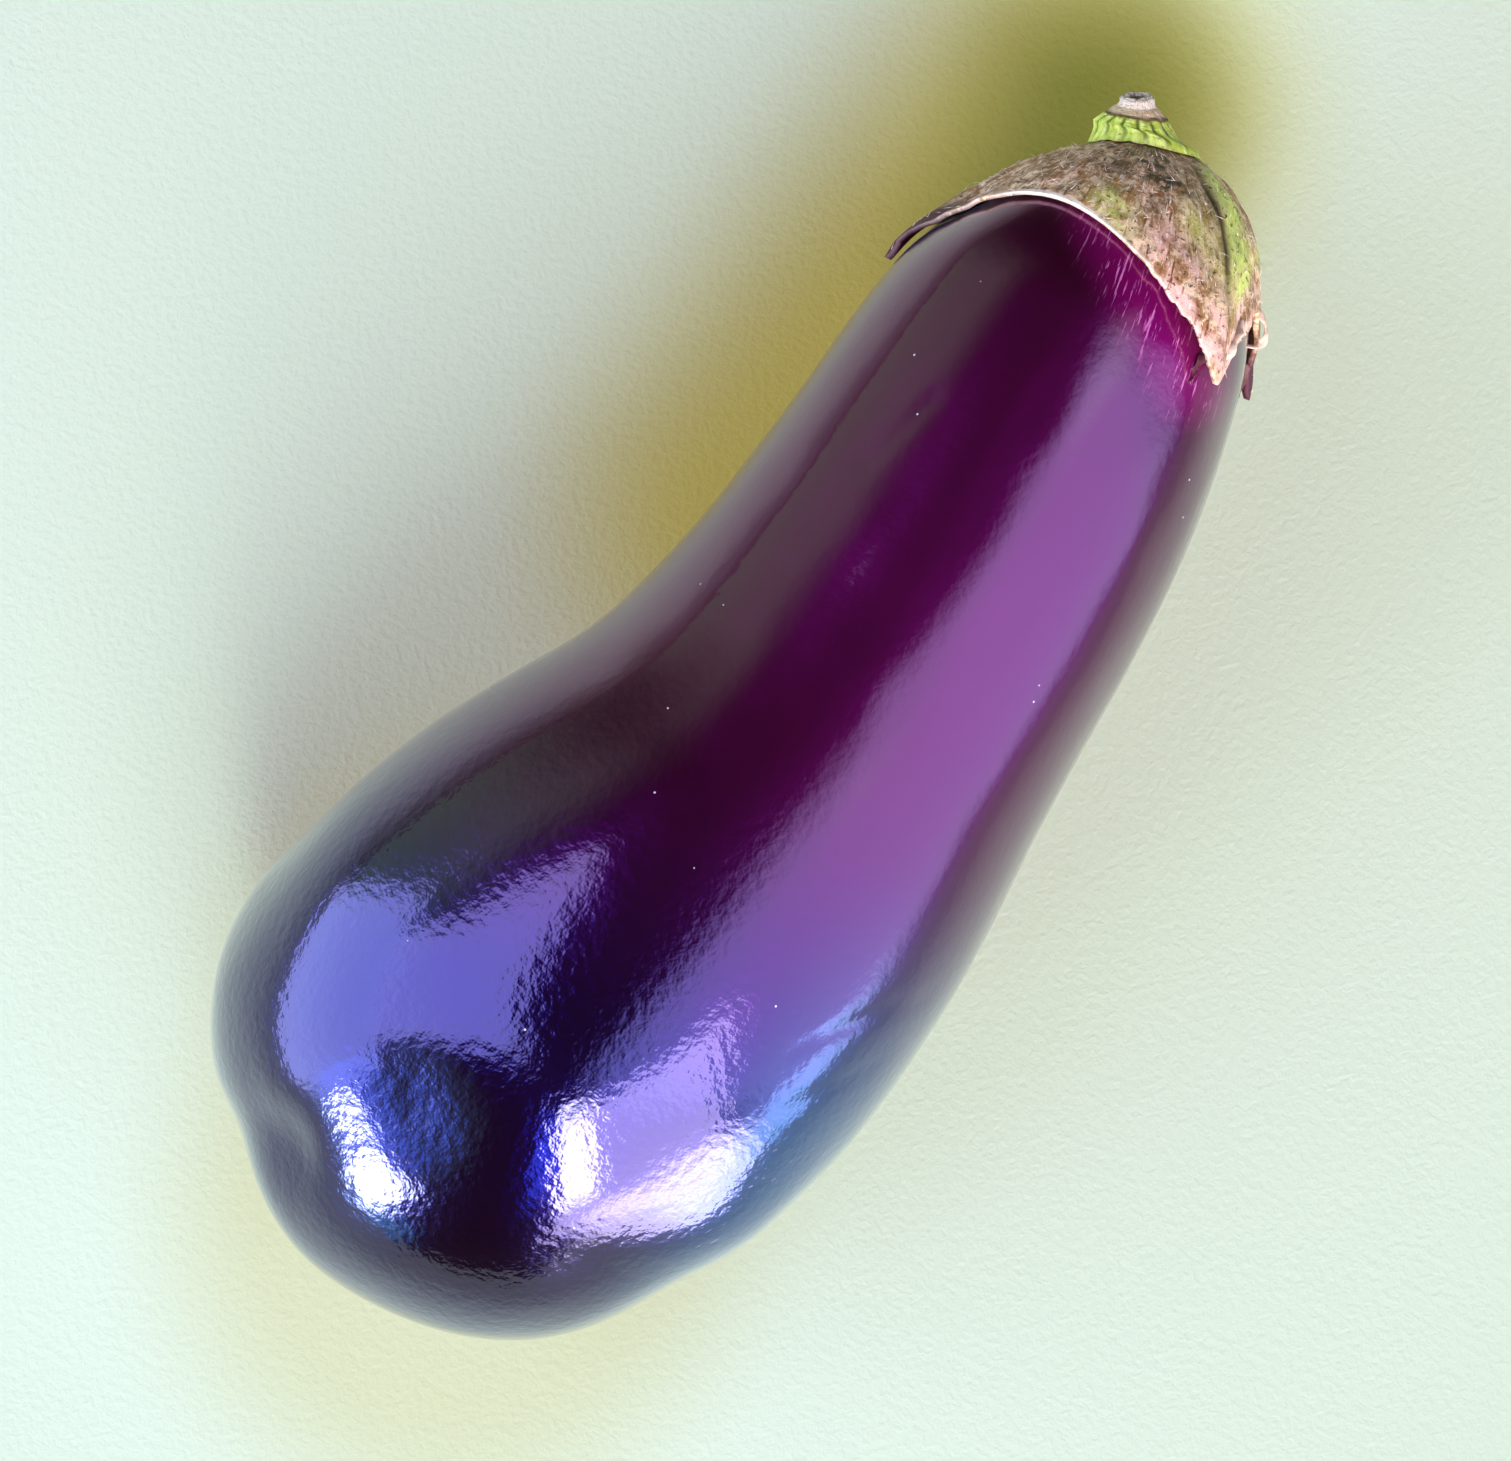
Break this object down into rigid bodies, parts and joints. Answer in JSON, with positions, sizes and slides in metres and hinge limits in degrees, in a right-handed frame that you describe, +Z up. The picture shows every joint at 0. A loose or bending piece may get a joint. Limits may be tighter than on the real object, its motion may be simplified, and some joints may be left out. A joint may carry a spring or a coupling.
{
  "type": "eggplant",
  "caption": "Purple globe eggplant lying on its side: heavy belly, bent slimmer neck, dried pointed calyx and short broken stem.",
  "frame": {"origin": "on the surface the fruit lies on, under the middle of its bounding box", "axes": "+X along the fruit from its blossom end to its stem, +Z up, +Y to the side that the neck bends away from"},
  "size_m": [0.2254, 0.1046, 0.0851],
  "materials": {
    "skin": "waxy, very glossy, deep purple",
    "calyx": "dry, leathery, olive brown",
    "stem": "matt green rind, brown dried collar, pale broken core"
  },
  "bodies": {
    "root": {"fruit": "skin", "calyx": "calyx", "stem": "stem"}
  },
  "joints": []
}
